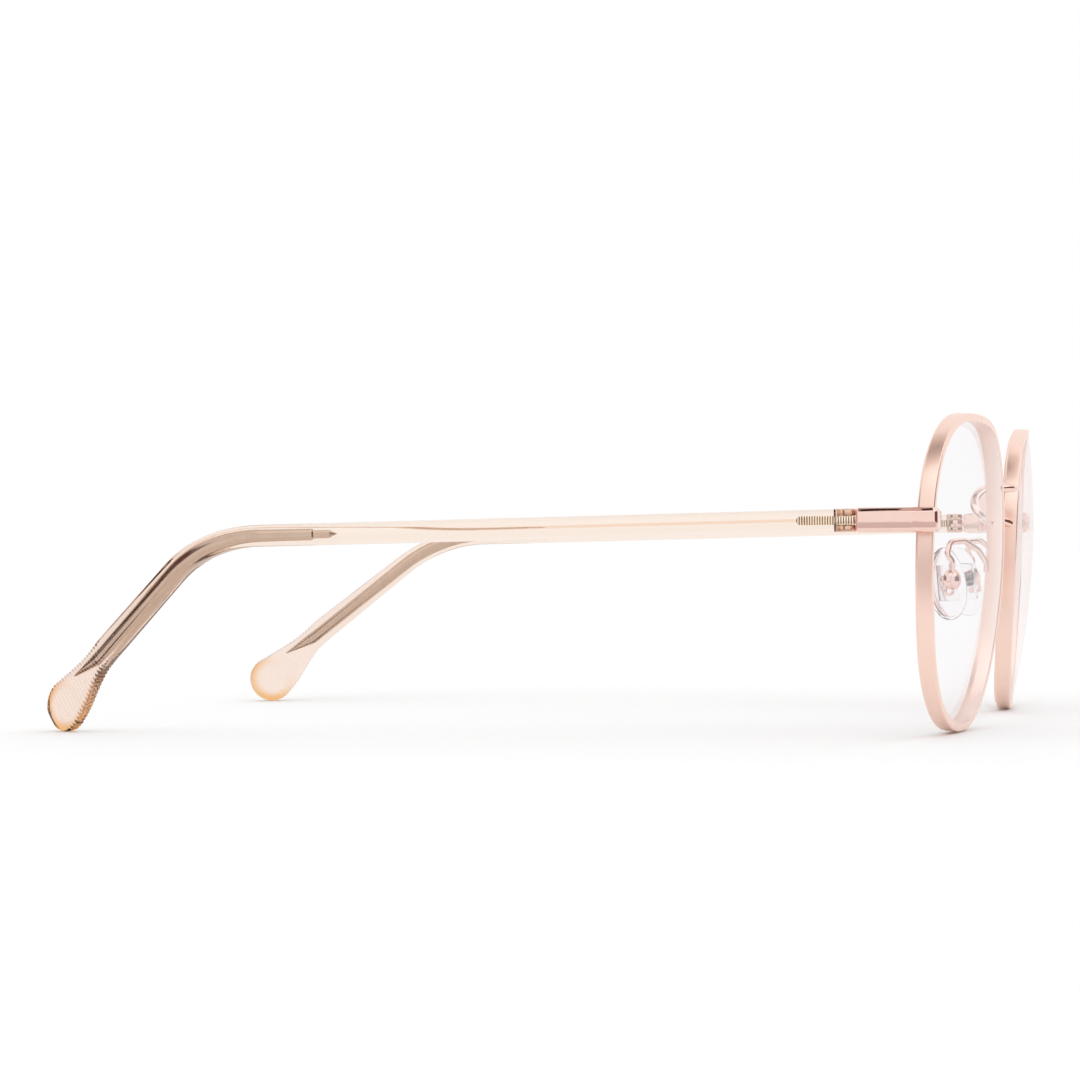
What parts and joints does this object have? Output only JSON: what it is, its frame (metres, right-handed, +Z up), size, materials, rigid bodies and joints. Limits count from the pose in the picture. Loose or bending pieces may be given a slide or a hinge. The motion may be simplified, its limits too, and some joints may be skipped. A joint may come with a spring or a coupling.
{
  "type": "eyeglasses",
  "caption": "Round wire eyeglasses: lens-locked metal rims, saddle bridge, rocking nose pads and folding clear plastic temples over wire cores.",
  "frame": {"origin": "on the ground under the middle of the bounding box, in the mirror plane between the lenses", "axes": "+X to the wearer's left, +Y rearwards along the temples, +Z up"},
  "size_m": [0.1286, 0.1504, 0.0486],
  "materials": {
    "rose_gold": "rose-gold plated wire and sheet, satin with bright edges",
    "lens": "clear lens with a faint grey-lavender tint",
    "hinge_metal": "bright pale gold",
    "core_metal": "pale gold wire, bright",
    "screw": "bright slotted screws",
    "clear_peach": "transparent pale peach plastic, polished",
    "silicone": "clear silicone"
  },
  "bodies": {
    "front": {"bridge": "rose_gold", "rim_left": "rose_gold", "lens_left": "lens", "end_piece_left": "rose_gold", "rim_lock_upper_left": "rose_gold", "rim_lock_lower_left": "rose_gold", "rim_lock_screw_left": "screw", "front_hinge_left": "hinge_metal", "pad_arm_left": "rose_gold", "pad_box_left": "rose_gold", "pad_screw_left": "screw", "rim_right": "rose_gold", "lens_right": "lens", "end_piece_right": "rose_gold", "rim_lock_upper_right": "rose_gold", "rim_lock_lower_right": "rose_gold", "rim_lock_screw_right": "screw", "front_hinge_right": "hinge_metal", "pad_arm_right": "rose_gold", "pad_box_right": "rose_gold", "pad_screw_right": "screw"},
    "temple_left_arm": {"temple_left": "clear_peach", "temple_hinge_left": "hinge_metal", "core_wire_left": "core_metal", "hinge_screw_left": "screw"},
    "nose_pad_left_rocker": {"nose_pad_left": "silicone", "pad_stud_left": "silicone"},
    "temple_right_arm": {"temple_right": "clear_peach", "temple_hinge_right": "hinge_metal", "core_wire_right": "core_metal", "hinge_screw_right": "screw"},
    "nose_pad_right_rocker": {"nose_pad_right": "silicone", "pad_stud_right": "silicone"}
  },
  "joints": [
    {"name": "temple_left_fold", "type": "hinge", "parent": "front", "child": "temple_left_arm", "pos_m": [0.0613, -0.05709, 0.03239], "axis": [0, 0, 1], "range_deg": [0, 79]},
    {"name": "temple_right_fold", "type": "hinge", "parent": "front", "child": "temple_right_arm", "pos_m": [-0.0613, -0.05709, 0.03239], "axis": [0, 0, -1], "range_deg": [0, 89]},
    {"name": "nose_pad_left_rock", "type": "hinge", "parent": "front", "child": "nose_pad_left_rocker", "pos_m": [0.0123, -0.06549, 0.02284], "axis": [0.4226, 0.9063, 0], "range_deg": [-8, 8]},
    {"name": "nose_pad_right_rock", "type": "hinge", "parent": "front", "child": "nose_pad_right_rocker", "pos_m": [-0.0123, -0.06549, 0.02284], "axis": [0.4226, -0.9063, 0], "range_deg": [-8, 8]}
  ]
}
